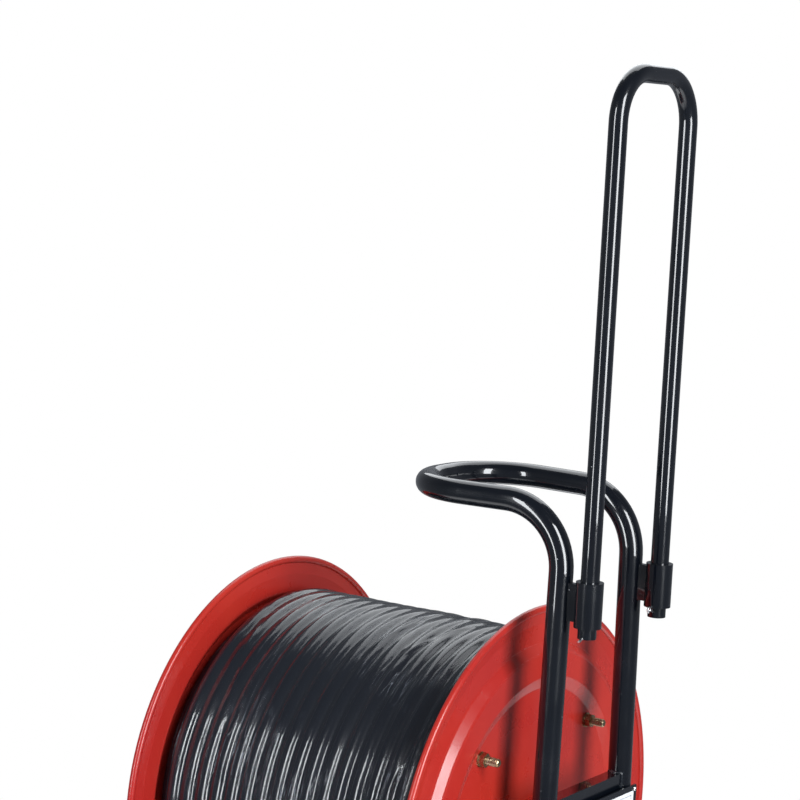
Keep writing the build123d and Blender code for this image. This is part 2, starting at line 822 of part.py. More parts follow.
def hub(side, name):
    """A flanged boss on the shaft that carries one end of the drum, with its screws."""
    with BuildPart() as boss:
        with BuildSketch(across(side * centre_y)):
            Circle(hub_r)
        extrude(amount=-side * hub_plate)
        with BuildSketch(across(side * (centre_y + hub_plate))):
            Circle(boss_r)
        extrude(amount=-side * boss_length)
        with BuildSketch(across(side * centre_y)):
            Circle(shaft_r)
            with PolarLocations(hub_screw_pcd / 2, hub_screw_count):
                Circle(hub_screw_r)
        extrude(amount=-side * (hub_plate + boss_length), mode=Mode.SUBTRACT)
    save(boss.part, f"{name}_hub")
    with BuildPart() as screws:
        with BuildSketch(across(side * (centre_y + hub_plate))):
            with PolarLocations(hub_screw_pcd / 2, hub_screw_count):
                RegularPolygon(hub_screw_head_r, 6)
        extrude(amount=-side * hub_screw_head)
        with BuildSketch(across(side * (centre_y + hub_plate))):
            with PolarLocations(hub_screw_pcd / 2, hub_screw_count):
                Circle(hub_screw_r)
        extrude(amount=side * (hub_plate + sheet + hub_screw_stand))
    save(screws.part, f"{name}_hub_screws")


hub(-1, "near")
hub(1, "far")

rod_end = centre_y + tie_rod_stand
for number in range(tie_rod_count):
    turn = radians(tie_rod_start + number * 360 / tie_rod_count)
    with BuildPart() as tie_rod:
        with BuildSketch(across(-rod_end, tie_rod_ring * cos(turn), tie_rod_ring * sin(turn))):
            Circle(tie_rod_r)
        extrude(amount=-2 * rod_end)
        chamfer(tie_rod.edges().filter_by(GeomType.CIRCLE), edge_chamfer)
    save(tie_rod.part, f"tie_rod_{number + 1}")


def tie_nuts(side, name):
    """A washer and a nut on the end of each tie rod, against the flange."""
    with BuildPart() as nuts:
        with BuildSketch(across(side * centre_y)):
            with PolarLocations(tie_rod_ring, tie_rod_count, start_angle=tie_rod_start):
                Circle(nut_washer_r)
        extrude(amount=-side * nut_washer)
        with BuildSketch(across(side * (centre_y + nut_washer))):
            with PolarLocations(tie_rod_ring, tie_rod_count, start_angle=tie_rod_start):
                RegularPolygon(nut_r, 6)
        extrude(amount=-side * nut_height)
        with BuildSketch(across(side * centre_y)):
            with PolarLocations(tie_rod_ring, tie_rod_count, start_angle=tie_rod_start):
                Circle(tie_rod_r)
        extrude(amount=-side * (nut_washer + nut_height), mode=Mode.SUBTRACT)
    save(nuts.part, name)


tie_nuts(-1, "tie_nuts_near")
tie_nuts(1, "tie_nuts_far")


# ================================================================ sockets on the far flange
socket_half = socket_side / 2
lid_back = centre_y + socket_depth + air
hinge_y = lid_back + hinge_knuckle_r
hinge_rise = socket_half + hinge_knuckle_r + air
pin_half = socket_half - ear_inset


def hinge_plane(x, z):
    """A plane across a lid's pin: its x is +Y from the pin, its y is +Z."""
    return Plane(place(x, hinge_y, z + hinge_rise), x_dir=(0, 1, 0), z_dir=(1, 0, 0))


def socket(z, name):
    """A socket body with a round well, and two ears that carry the pin of its lid."""
    ear_reach = hinge_y - centre_y
    with BuildPart() as body:
        with BuildSketch(across(centre_y, z=z)):
            RectangleRounded(socket_side, socket_side, socket_corner_r)
        extrude(amount=-socket_depth)
        with BuildSketch(across(centre_y + socket_depth, z=z)):
            Circle(well_r)
        extrude(amount=well_depth, mode=Mode.SUBTRACT)
        with BuildSketch(across(centre_y + socket_depth - well_depth, z=z)):
            with GridLocations(plug_pin_span, 0, 2, 1):
                Circle(plug_pin_r + pin_fit)
        extrude(amount=socket_depth - well_depth - socket_back, mode=Mode.SUBTRACT)
        for side in (-1, 1):
            with BuildSketch(hinge_plane(side * (pin_half - ear / 2), z)):
                Circle(hinge_knuckle_r)
                with Locations((-ear_reach / 2, 0)):
                    Rectangle(ear_reach, 2 * hinge_knuckle_r)
                with Locations((-ear_reach + socket_depth / 4, -hinge_knuckle_r)):
                    Rectangle(socket_depth / 2, 2 * hinge_knuckle_r)
            extrude(amount=ear / 2, both=True)
        with BuildSketch(hinge_plane(0, z)):
            Circle(hinge_pin_r)
        extrude(amount=pin_half, both=True)
    save(body.part, name)


def socket_lid(z, name):
    """A flat lid that hangs from its knuckle on the socket's pin."""
    knuckle_half = pin_half - ear - air
    with BuildPart() as lid:
        with BuildSketch(across(lid_back, z=z)):
            RectangleRounded(socket_side, socket_side, socket_corner_r)
        extrude(amount=-lid_thick)
        with BuildSketch(across(lid_back + lid_thick, z=z - socket_half + socket_corner_r)):
            RectangleRounded(lid_tab, lid_tab_width, lid_tab_width * 0.4)
        extrude(amount=-lid_tab_rise)
        with BuildSketch(hinge_plane(0, z)):
            Circle(hinge_knuckle_r)
            with Locations(((lid_back + lid_thick / 2) - hinge_y, -hinge_knuckle_r)):
                Rectangle(lid_thick, 2 * hinge_knuckle_r + 2 * air)
        extrude(amount=knuckle_half, both=True)
        with BuildSketch(hinge_plane(0, z)):
            Circle(hinge_pin_r + run_fit)
        extrude(amount=knuckle_half, both=True, mode=Mode.SUBTRACT)
    save(lid.part, name)


for z, place_name in ((socket_offset, "upper"), (-socket_offset, "lower")):
    socket(z, f"socket_{place_name}")
    socket_lid(z, f"socket_lid_{place_name}")

# ================================================================ crank
with BuildPart() as crank_arm:
    with BuildSketch(across(crank_y)):
        Circle(crank_hub_r)
    extrude(amount=-crank_hub_length)
    with BuildSketch(across(arm_y, z=-crank_throw / 2)):
        SlotCenterToCenter(crank_throw, crank_arm_width, rotation=90)
    extrude(amount=-crank_arm_thick)
    with BuildSketch(across(crank_y)):
        Circle(shaft_r)
        with Locations((0, -crank_throw)):
            Circle(grip_pin_r)
    extrude(amount=-crank_hub_length, mode=Mode.SUBTRACT)
    set_screw_y = crank_y + (crank_hub_length - crank_arm_thick) / 2
    with BuildSketch(Plane(place(0, set_screw_y, shaft_r))):
        Circle(bolt_r)
    extrude(amount=crank_hub_r, mode=Mode.SUBTRACT)
save(crank_arm.part, "crank_arm")

with BuildPart() as crank_screw:
    with BuildSketch(Plane(place(0, set_screw_y, shaft_r))):
        Circle(bolt_r)
    extrude(amount=crank_hub_r - shaft_r)
    with BuildSketch(Plane(place(0, set_screw_y, crank_hub_r))):
        RegularPolygon(set_screw_head_r, 6)
    extrude(amount=set_screw_head)
save(crank_screw.part, "crank_screw")

with BuildPart() as crank_pin:
    with BuildSketch(across(arm_y, z=-crank_throw)):
        Circle(grip_pin_r)
    extrude(amount=-(grip_front - arm_y))
    with BuildSketch(across(grip_front - grip_cap, z=-crank_throw)):
        Circle(grip_cap_r)
    extrude(amount=-grip_cap)
    chamfer(crank_pin.edges().sort_by(Axis.Y)[-1], edge_chamfer)
save(crank_pin.part, "crank_pin")

grip_start = crank_front + side_play
grip_bore = grip_pin_r + run_fit
end_r = grip_r - grip_end_drop
with BuildPart() as crank_grip:
    with BuildSketch(Plane(place(0, grip_start, -crank_throw), x_dir=(0, 1, 0), z_dir=(1, 0, 0))):
        with BuildLine():
            Polyline((0, end_r), (0, grip_bore), (grip_length, grip_bore), (grip_length, end_r))
            Spline(
                (0, end_r),
                (grip_length * grip_swell, grip_r),
                (grip_length / 2, grip_r - grip_waist_drop),
                (grip_length * (1 - grip_swell), grip_r),
                (grip_length, end_r),
            )
        make_face()
    revolve(axis=Axis(place(0, 0, -crank_throw), (0, 1, 0)))
save(crank_grip.part, "crank_grip")

# ================================================================ drum lock
with BuildPart() as lock_knob:
    with BuildSketch(Plane(place(0, lock_y, -(shaft_r + air)))):
        Circle(lock_screw_r - run_fit)
    extrude(amount=-(lock_boss_end - shaft_r - air + lock_gap + lock_tip))
    with BuildSketch(Plane(place(0, lock_y, -(lock_boss_end + lock_gap)))):
        Circle(lock_knob_r - lobe_inset)
        with PolarLocations(lock_knob_r - lobe_r, lobe_count):
            Circle(lobe_r)
    extrude(amount=-lock_knob_height)
    chamfer(lock_knob.faces().filter_by(GeomType.PLANE).sort_by(Axis.Z)[0].edges(), edge_chamfer)
save(lock_knob.part, "lock_knob")
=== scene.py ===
"""Looks of the cable reel trolley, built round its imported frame.

Metres, +Z up, the drum axis along Y. The CAD nodes keep their shapes and get procedural materials. The
cable, its film wrap, the tyres, welds, threads and label print are built here.
"""

import itertools
import json
import math

import bpy
import numpy as np
from mathutils import Matrix, Vector


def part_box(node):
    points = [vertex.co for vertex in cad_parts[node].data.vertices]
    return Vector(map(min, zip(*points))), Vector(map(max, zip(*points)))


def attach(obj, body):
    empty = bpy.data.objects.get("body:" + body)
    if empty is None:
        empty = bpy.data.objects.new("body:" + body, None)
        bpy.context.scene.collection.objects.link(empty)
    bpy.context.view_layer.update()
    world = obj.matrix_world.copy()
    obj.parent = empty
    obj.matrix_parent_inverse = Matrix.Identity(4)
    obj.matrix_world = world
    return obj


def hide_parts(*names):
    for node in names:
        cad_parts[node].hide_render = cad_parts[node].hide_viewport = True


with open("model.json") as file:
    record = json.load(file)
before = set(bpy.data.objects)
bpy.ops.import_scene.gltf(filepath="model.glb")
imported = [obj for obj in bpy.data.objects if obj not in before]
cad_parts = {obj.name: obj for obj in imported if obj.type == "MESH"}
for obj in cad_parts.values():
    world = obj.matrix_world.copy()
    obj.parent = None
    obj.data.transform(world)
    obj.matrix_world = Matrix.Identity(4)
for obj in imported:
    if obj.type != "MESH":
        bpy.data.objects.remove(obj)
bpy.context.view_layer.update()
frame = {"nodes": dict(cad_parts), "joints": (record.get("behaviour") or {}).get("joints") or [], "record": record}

nodes = frame["nodes"]
joints = {joint["name"]: joint for joint in frame["joints"]}
slot_of = {part["node"]: part["material_slot"] for part in frame["record"]["subparts"]}
drum = Vector(joints["drum_spin"]["pos_m"])
seed = np.random.default_rng(7)
TURN = 2 * math.pi


def size(node):
    low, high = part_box(node)
    return Vector(high) - Vector(low)


def middle(node):
    low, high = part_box(node)
    return (Vector(high) + Vector(low)) / 2


# ================================================================ camera, light and floor
CAMERA_FROM_DRUM = Vector((-1.985, -1.3255, 0.7287))
CAMERA_YAW = math.radians(55.844)
CAMERA_PITCH = math.radians(-6.73)
CAMERA_ROLL = math.radians(2.909)
LENS_MM = 100.4
SENSOR_MM = 36.0
LIGHT_COLOUR = (0.94, 0.97, 1.0)
LIGHT_AIM = Vector((0, 0, 0.1))  # from the drum's centre
HORIZON_GLOW = (0.17, 0.18, 0.2, 1)
ZENITH_GLOW = (0.09, 0.095, 0.105, 1)
FLOOR_CLEAR = 0.6  # the floor starts to fade this far out
FLOOR_FADED = 0.98
FLOOR_GLOW = 0.42
SOFTBOXES = (  # name, azimuth, distance, height, width, tall, power, fill
    ("softbox_left", -43, 2.6, 1.15, 0.42, 2.2, 46, False),
    ("softbox_right", 35, 2.6, 1.4, 0.85, 2.6, 112, False),
    ("top_light", 172, 1.6, 2.38, 2.2, 2.6, 32, False),
    ("fill_left", -135, 2.4, 1.2, 1.6, 1.8, 34, True),
    ("fill_right", 135, 2.4, 1.2, 1.6, 1.8, 34, True),
)


def add_camera():
    data = bpy.data.cameras.new("camera")
    data.lens = LENS_MM
    data.sensor_width = SENSOR_MM
    camera = bpy.data.objects.new("camera", data)
    bpy.context.scene.collection.objects.link(camera)
    ahead = Vector(
        (
            math.sin(CAMERA_YAW) * math.cos(CAMERA_PITCH),
            math.cos(CAMERA_YAW) * math.cos(CAMERA_PITCH),
            math.sin(CAMERA_PITCH),
        )
    )
    level = Vector((math.cos(CAMERA_YAW), -math.sin(CAMERA_YAW), 0))
    upright = level.cross(ahead)
    right = level * math.cos(CAMERA_ROLL) + upright * math.sin(CAMERA_ROLL)
    up = upright * math.cos(CAMERA_ROLL) - level * math.sin(CAMERA_ROLL)
    turn = Matrix((right, up, -ahead)).transposed().to_4x4()
    camera.matrix_world = Matrix.Translation(drum + CAMERA_FROM_DRUM) @ turn
    bpy.context.scene.camera = camera


def add_softbox(name, azimuth, distance, height, width, tall, power, fill):
    """A soft light that faces the drum. A fill leaves no highlight.

    The azimuth is in degrees, to the right of the camera's, and the power in watts.
    """
    data = bpy.data.lights.new(name, "AREA")
    data.shape = "RECTANGLE"
    data.size = width
    data.size_y = tall
    data.energy = power
    data.color = LIGHT_COLOUR
    light = bpy.data.objects.new(name, data)
    bpy.context.scene.collection.objects.link(light)
    around = CAMERA_YAW + math.pi - math.radians(azimuth)
    place = drum + Vector((math.sin(around), math.cos(around), 0)) * distance
    place.z = height
    light.location = place
    light.visible_glossy = not fill
    light.rotation_euler = (drum + LIGHT_AIM - place).to_track_quat("-Z", "Y").to_euler()


def add_world():
    """White where it is seen; what it lends to reflections fades from the horizon to the zenith."""
    world = bpy.data.worlds.new("studio")
    bpy.context.scene.world = world
    world.use_nodes = True
    tree = world.node_tree
    shade = tree.nodes["Background"]
    direction = tree.nodes.new("ShaderNodeTexCoord").outputs["Generated"]
    split = tree.nodes.new("ShaderNodeSeparateXYZ")
    tree.links.new(direction, split.inputs[0])
    ramp = tree.nodes.new("ShaderNodeValToRGB")
    ramp.color_ramp.elements[0].position = 0.05
    ramp.color_ramp.elements[0].color = HORIZON_GLOW
    ramp.color_ramp.elements[1].position = 0.75
    ramp.color_ramp.elements[1].color = ZENITH_GLOW
    tree.links.new(split.outputs[2], ramp.inputs[0])
    seen = tree.nodes.new("ShaderNodeLightPath").outputs["Is Camera Ray"]
    mix = tree.nodes.new("ShaderNodeMix")
    mix.data_type = "RGBA"
    tree.links.new(seen, mix.inputs[0])
    tree.links.new(ramp.outputs[0], mix.inputs[6])
    mix.inputs[7].default_value = (1, 1, 1, 1)
    tree.links.new(mix.outputs[2], shade.inputs[0])


def add_floor():
    """A pale floor that fades into the white round it beyond FLOOR_CLEAR from the middle."""
    half = FLOOR_FADED
    mesh = bpy.data.meshes.new("floor")
    corners = [(-half, -half, 0), (half, -half, 0), (half, half, 0), (-half, half, 0)]
    mesh.from_pydata(corners, [], [(0, 1, 2, 3)])
    floor = bpy.data.objects.new("floor", mesh)
    bpy.context.scene.collection.objects.link(floor)
    look = Look("floor_white", Base_Color=(0.86, 0.86, 0.87, 1), Roughness=0.6, Specular_IOR_Level=0.2)
    look.set(Emission_Color=(1, 1, 1, 1), Emission_Strength=FLOOR_GLOW)
    reach = look.tree.nodes.new("ShaderNodeVectorMath")
    reach.operation = "LENGTH"
    look.feed(reach, 0, look.place)
    look.set(Alpha=look.steps(reach.outputs["Value"], FLOOR_CLEAR, FLOOR_FADED, 1.0, 0.0))
    mesh.materials.append(look.material)


# ================================================================ material tools
class Look:
    """A material with short calls for the nodes that it uses. Patterns are placed in metres."""

    def __init__(self, name, **sockets):
        self.material = bpy.data.materials.new(name)
        self.material.use_nodes = True
        self.tree = self.material.node_tree
        self.shader = self.tree.nodes["Principled BSDF"]
        self.place = self.tree.nodes.new("ShaderNodeTexCoord").outputs["Object"]
        self.normal = None
        self.set(**sockets)

    def set(self, **sockets):
        """Fixed values, or outputs of other nodes, on the shader's own sockets."""
        for name, value in sockets.items():
            socket = self.shader.inputs[name.replace("_", " ")]
            if isinstance(value, bpy.types.NodeSocket):
                self.tree.links.new(value, socket)
            else:
                socket.default_value = value

    def feed(self, node, index, value):
        if isinstance(value, bpy.types.NodeSocket):
            self.tree.links.new(value, node.inputs[index])
        else:
            node.inputs[index].default_value = value

    def stretched(self, x, y, z, place=None):
        node = self.tree.nodes.new("ShaderNodeMapping")
        self.feed(node, 0, place or self.place)
        node.inputs["Scale"].default_value = (x, y, z)
        return node.outputs[0]

    def noise(self, scale, detail=3.0, roughness=0.5, distortion=0.0, place=None):
        node = self.tree.nodes.new("ShaderNodeTexNoise")
        self.feed(node, 0, place or self.place)
        node.inputs["Scale"].default_value = scale
        node.inputs["Detail"].default_value = detail
        node.inputs["Roughness"].default_value = roughness
        node.inputs["Distortion"].default_value = distortion
        return node.outputs[0]

    def cells(self, scale):
        node = self.tree.nodes.new("ShaderNodeTexVoronoi")
        self.feed(node, 0, self.place)
        node.inputs["Scale"].default_value = scale
        return node.outputs["Distance"]

    def steps(self, factor, low, high, start=0.0, end=1.0):
        """Maps factor from low..high to start..end, held at both ends."""
        node = self.tree.nodes.new("ShaderNodeMapRange")
        self.feed(node, 0, factor)
        for index, value in enumerate((low, high, start, end)):
            node.inputs[1 + index].default_value = value
        return node.outputs[0]

    def math(self, kind, a, b=0.0):
        node = self.tree.nodes.new("ShaderNodeMath")
        node.operation = kind
        self.feed(node, 0, a)
        self.feed(node, 1, b)
        return node.outputs[0]

    def mix(self, factor, a, b):
        node = self.tree.nodes.new("ShaderNodeMix")
        node.data_type = "RGBA"
        self.feed(node, 0, factor)
        self.feed(node, 6, a)
        self.feed(node, 7, b)
        return node.outputs[2]

    def bump(self, height, distance, strength=1.0):
        node = self.tree.nodes.new("ShaderNodeBump")
        node.inputs["Strength"].default_value = strength
        node.inputs["Distance"].default_value = distance
        self.feed(node, "Height", height)
        if self.normal:
            self.tree.links.new(self.normal, node.inputs["Normal"])
        self.normal = node.outputs[0]
        self.tree.links.new(self.normal, self.shader.inputs["Normal"])

    def round_drum(self):
        """Places as (arc length round the drum, along its axis, 0), so that patterns follow the turns."""
        move = self.tree.nodes.new("ShaderNodeMapping")
        self.feed(move, 0, self.place)
        move.inputs["Location"].default_value = -drum
        split = self.tree.nodes.new("ShaderNodeSeparateXYZ")
        self.tree.links.new(move.outputs[0], split.inputs[0])
        angle = self.math("ARCTAN2", split.outputs[2], split.outputs[0])
        join = self.tree.nodes.new("ShaderNodeCombineXYZ")
        self.tree.links.new(self.math("MULTIPLY", angle, WINDING_R), join.inputs[0])
        self.tree.links.new(split.outputs[1], join.inputs[1])
        return join.outputs[0]


def rgb(red, green, blue):
    return (red, green, blue, 1.0)


# ================================================================ materials
def black_enamel():
    """Gloss blue-black enamel with orange peel and a few chips."""
    look = Look("black_enamel", Specular_IOR_Level=0.2, Coat_Weight=1.0, Coat_Roughness=0.035)
    cloudy = look.steps(look.noise(9, 4), 0.35, 0.7)
    paint = look.mix(cloudy, rgb(0.002, 0.003, 0.0055), rgb(0.0035, 0.005, 0.008))
    chip_shape = look.math("ADD", look.cells(95), look.steps(look.noise(240, 2), 0.3, 0.7, -0.06, 0.06))
    chipped = look.steps(chip_shape, 0.035, 0.055, 1.0, 0.0)
    where = look.steps(look.noise(14, 2), 0.54, 0.6)
    chips = look.math("MULTIPLY", chipped, where)
    paint = look.mix(chips, paint, rgb(0.42, 0.43, 0.44))
    look.set(Base_Color=paint, Roughness=look.steps(look.noise(30, 5), 0.3, 0.75, 0.14, 0.3))
    look.bump(look.noise(60, 2), 0.0004, 0.06)
    look.bump(chips, 0.0002, 0.6)
    return look.material


def red_enamel():
    """Gloss red enamel on pressed sheet, a little wavy, with patches of dust specks."""
    look = Look("red_enamel", Specular_IOR_Level=0.35, Coat_Weight=0.34, Coat_Roughness=0.13)
    cloudy = look.steps(look.noise(6, 3), 0.3, 0.7)
    paint = look.mix(cloudy, rgb(0.36, 0.017, 0.014), rgb(0.43, 0.026, 0.015))
    specks = look.steps(look.cells(260), 0.03, 0.06, 1.0, 0.0)
    dusty = look.math("MULTIPLY", specks, look.steps(look.noise(22, 2), 0.58, 0.66, 0.0, 0.55))
    paint = look.mix(dusty, paint, rgb(0.75, 0.45, 0.4))
    look.set(Base_Color=paint, Roughness=look.steps(look.noise(24, 4), 0.3, 0.7, 0.24, 0.36))
    look.bump(look.noise(11, 2), 0.0022, 0.22)
    look.bump(look.noise(520, 2), 0.0001, 0.3)
    return look.material


def cable_sheath():
    """Black rubber sheath with a faint bloom and fine lengthwise drag marks."""
    look = Look("cable_sheath", Specular_IOR_Level=0.4)
    turn = look.round_drum()
    drag = look.noise(60, 4, place=look.stretched(1, 14, 1, turn))
    bloom = look.steps(look.noise(14, 4), 0.35, 0.7)
    sheath = look.mix(bloom, rgb(0.0085, 0.0095, 0.0125), rgb(0.019, 0.021, 0.026))
    look.set(Base_Color=sheath, Roughness=look.steps(drag, 0.3, 0.7, 0.3, 0.48))
    look.bump(drag, 0.0003, 0.35)
    look.bump(look.noise(900, 2), 0.00008, 0.4)
    return look.material


def stretch_film():
    """Clear film drawn tight over black cable: smooth, with a few sharp creases round the drum that carry a
    painted highlight.
    """
    look = Look("stretch_film", IOR=1.5, Specular_IOR_Level=0.5, Coat_Weight=0.5, Coat_Roughness=0.06)
    turn = look.round_drum()
    ripple = look.noise(26, 2, 0.5, 0.3, look.stretched(0.5, 1.6, 1, turn))
    streak = look.noise(48, 3, 0.6, 0.6, look.stretched(0.16, 3.0, 1, turn))
    line = look.math("ABSOLUTE", look.math("SUBTRACT", streak, 0.5))
    sharp = look.steps(line, 0.0, 0.022, 1.0, 0.0)
    patch = look.steps(look.noise(9, 2, place=turn), 0.5, 0.62)
    crease_and_highlight = look.math("MULTIPLY", sharp, patch)
    # The creases are painted pale grey-blue and made more opaque: a painted highlight along each crease, on top of
    # its bump.
    look.set(Base_Color=look.mix(crease_and_highlight, rgb(0.011, 0.013, 0.018), rgb(0.1, 0.11, 0.13)))
    look.set(Alpha=look.steps(crease_and_highlight, 0.0, 1.0, 0.82, 0.95))
    look.set(Roughness=look.steps(look.noise(12, 3, place=turn), 0.35, 0.65, 0.12, 0.26))
    look.bump(ripple, 0.0012, 0.25)
    look.bump(crease_and_highlight, 0.0007, 0.5)
    return look.material


def plated(name, base, tint, roughness):
    """Zinc plate: grainy metal whose passivation drifts in colour."""
    look = Look(name, Metallic=1.0)
    drift = look.steps(look.noise(70, 4), 0.35, 0.65)
    look.set(Base_Color=look.mix(drift, base, tint))
    look.set(Roughness=look.steps(look.noise(400, 3), 0.3, 0.7, roughness - 0.08, roughness + 0.1))
    look.bump(look.noise(1500, 2), 0.00005, 0.5)
    return look.material


def turned_steel():
    """Bright steel with the fine rings of a lathe across its axis."""
    look = Look("turned_steel", Metallic=1.0)
    rings = look.noise(160, 3, place=look.stretched(0.2, 9, 0.2))
    look.set(Base_Color=look.mix(rings, rgb(0.32, 0.33, 0.35), rgb(0.55, 0.56, 0.58)))
    look.set(Roughness=look.steps(rings, 0.3, 0.7, 0.2, 0.38))
    look.bump(rings, 0.0001, 0.4)
    return look.material


def cast_housing():
    """Painted cast iron with the grain of its mould."""
    look = Look("cast_housing", Specular_IOR_Level=0.4)
    grain = look.noise(220, 5, 0.6)
    look.set(Base_Color=look.mix(grain, rgb(0.02, 0.022, 0.025), rgb(0.055, 0.058, 0.063)))
    look.set(Roughness=look.steps(grain, 0.3, 0.7, 0.38, 0.6))
    look.bump(grain, 0.0006, 0.5)
    return look.material


def rubber(name, shade, roughness):
    """Matt black rubber, greyer where dust clings."""
    look = Look(name, Specular_IOR_Level=0.3)
    dust = look.steps(look.noise(26, 5), 0.4, 0.75)
    dusty = rgb(shade * 2.6, shade * 2.5, shade * 2.3)
    look.set(Base_Color=look.mix(dust, rgb(shade, shade, shade), dusty))
    look.set(Roughness=look.steps(look.noise(120, 3), 0.3, 0.7, roughness - 0.08, roughness + 0.1))
    look.bump(look.noise(800, 3), 0.0001, 0.6)
    return look.material


def moulded(name, base, lighter, roughness):
    """Moulded plastic with a fine spark-eroded grain."""
    look = Look(name, Specular_IOR_Level=0.45)
    look.set(Base_Color=look.mix(look.steps(look.noise(12, 3), 0.35, 0.7), base, lighter))
    look.set(Roughness=look.steps(look.noise(60, 3), 0.3, 0.7, roughness - 0.06, roughness + 0.08))
    look.bump(look.cells(1400), 0.00006, 0.5)
    return look.material


def foil_label():
    """Brushed foil under a clear layer."""
    look = Look("foil_label", Specular_IOR_Level=0.5, Coat_Weight=0.3, Coat_Roughness=0.2)
    brushed = look.noise(90, 3, place=look.stretched(0.3, 1, 14))
    look.set(Base_Color=look.mix(brushed, rgb(0.66, 0.68, 0.71), rgb(0.8, 0.81, 0.83)))
    look.set(Roughness=look.steps(brushed, 0.3, 0.7, 0.32, 0.45))
    look.bump(look.noise(30, 2), 0.0004, 0.2)
    return look.material


def label_ink():
    """Grey print, a little worn."""
    look = Look("label_ink", Specular_IOR_Level=0.4)
    worn = look.noise(180, 4)
    look.set(Base_Color=look.mix(worn, rgb(0.2, 0.215, 0.24), rgb(0.33, 0.35, 0.38)))
    look.set(Roughness=look.steps(worn, 0.3, 0.7, 0.45, 0.6))
    return look.material


def weld_paint():
    """The frame's enamel where it lies lumpy over a weld."""
    look = Look("weld_paint", Specular_IOR_Level=0.35, Coat_Weight=0.5, Coat_Roughness=0.12)
    lumpy = look.noise(300, 3)
    look.set(Base_Color=look.mix(lumpy, rgb(0.005, 0.007, 0.011), rgb(0.012, 0.015, 0.02)))
    look.set(Roughness=look.steps(lumpy, 0.3, 0.7, 0.2, 0.4))
    look.bump(lumpy, 0.0006, 0.5)
    return look.material


WINDING_R = size("cable_winding").x / 2

LOOKS = {
    "frame_paint": black_enamel(),
    "drum_paint": red_enamel(),
    "yellow_zinc": plated("yellow_zinc", rgb(0.4, 0.29, 0.15), rgb(0.5, 0.42, 0.3), 0.3),
    "bright_zinc": plated("bright_zinc", rgb(0.62, 0.63, 0.66), rgb(0.74, 0.74, 0.72), 0.26),
    "shaft_steel": turned_steel(),
    "bearing_iron": cast_housing(),
    "cable_rubber": cable_sheath(),
    "plug_rubber": rubber("plug_rubber", 0.014, 0.5),
    "tyre_rubber": rubber("tyre_rubber", 0.016, 0.72),
    "foot_rubber": rubber("foot_rubber", 0.014, 0.68),
    "rim_plastic": moulded("rim_plastic", rgb(0.34, 0.35, 0.36), rgb(0.4, 0.41, 0.42), 0.42),
    "socket_plastic": moulded("socket_plastic", rgb(0.02, 0.07, 0.27), rgb(0.028, 0.09, 0.32), 0.3),
    "grip_plastic": moulded("grip_plastic", rgb(0.012, 0.012, 0.014), rgb(0.02, 0.02, 0.022), 0.45),
    "label": foil_label(),
}


def paint_nodes():
    for name, node in nodes.items():
        node.data.materials.clear()
        node.data.materials.append(LOOKS[slot_of[name]])


# ================================================================ mesh tools
def piece(name, points, faces, material, slot, body, smooth=True):
    """A mesh piece that rides on a body, in the material given. Its slot is not used."""
    mesh = bpy.data.meshes.new(name)
    mesh.from_pydata([tuple(p) for p in points], [], faces)
    mesh.materials.append(material)
    if smooth:
        mesh.shade_smooth()
    obj = bpy.data.objects.new(name, mesh)
    bpy.context.scene.collection.objects.link(obj)
    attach(obj, body)
    return obj


def grid_faces(rows, columns, wrap_rows=False):
    """Quads between closed rows of points that are numbered row by row."""
    faces = []
    for i in range(rows if wrap_rows else rows - 1):
        for j in range(columns):
            a, b = i * columns, (i + 1) % rows * columns
            k = (j + 1) % columns
            faces.append((a + j, a + k, b + k, b + j))
    return faces


def swept(path, radius, sides, closed=False):
    """Points and faces of a tube along a path, its rings carried along without twist."""
    path = np.asarray(path, float)
    ahead = np.roll(path, -1, 0) - np.roll(path, 1, 0) if closed else np.gradient(path, axis=0)
    ahead /= np.linalg.norm(ahead, axis=1)[:, None]
    radius = np.broadcast_to(radius, len(path))
    side = np.cross(ahead[0], (0.0, 1.0, 0.0))
    if np.linalg.norm(side) < 0.1:
        side = np.cross(ahead[0], (0.0, 0.0, 1.0))
    angles = np.linspace(0, TURN, sides, endpoint=False)
    points = []
    for p, t, r in zip(path, ahead, radius):
        side = side - t * (side @ t)
        side /= np.linalg.norm(side)
        other = np.cross(t, side)
        points.append(p + r * (np.outer(np.cos(angles), side) + np.outer(np.sin(angles), other)))
    points = np.concatenate(points)
    faces = grid_faces(len(path), sides, wrap_rows=closed)
    if not closed:
        faces.append(tuple(reversed(range(sides))))
        faces.append(tuple(range(len(points) - sides, len(points))))
    return points, faces


def joined(parts):
    """Several (points, faces) as one."""
    points, faces, count = [], [], 0
    for some_points, some_faces in parts:
        points.append(np.asarray(some_points, float))
        faces += [tuple(i + count for i in face) for face in some_faces]
        count += len(some_points)
    return np.concatenate(points), faces


def slab(low, high):
    """Points and faces of a box."""
    points = list(itertools.product(*zip(low, high)))
    faces = [(0, 1, 3, 2), (4, 6, 7, 5), (0, 4, 5, 1), (2, 3, 7, 6), (0, 2, 6, 4), (1, 5, 7, 3)]
    return points, faces


def smooth_noise(count, amplitude, span):
    """A wander that changes slowly: count values, smoothed over span of them."""
    raw = seed.normal(size=count + 2 * span)
    kernel = np.hanning(span + 2)[1:-1]
    wander = np.convolve(raw, kernel / kernel.sum(), "same")[span:-span]
    return amplitude * wander / max(np.abs(wander).max(), 1e-9)


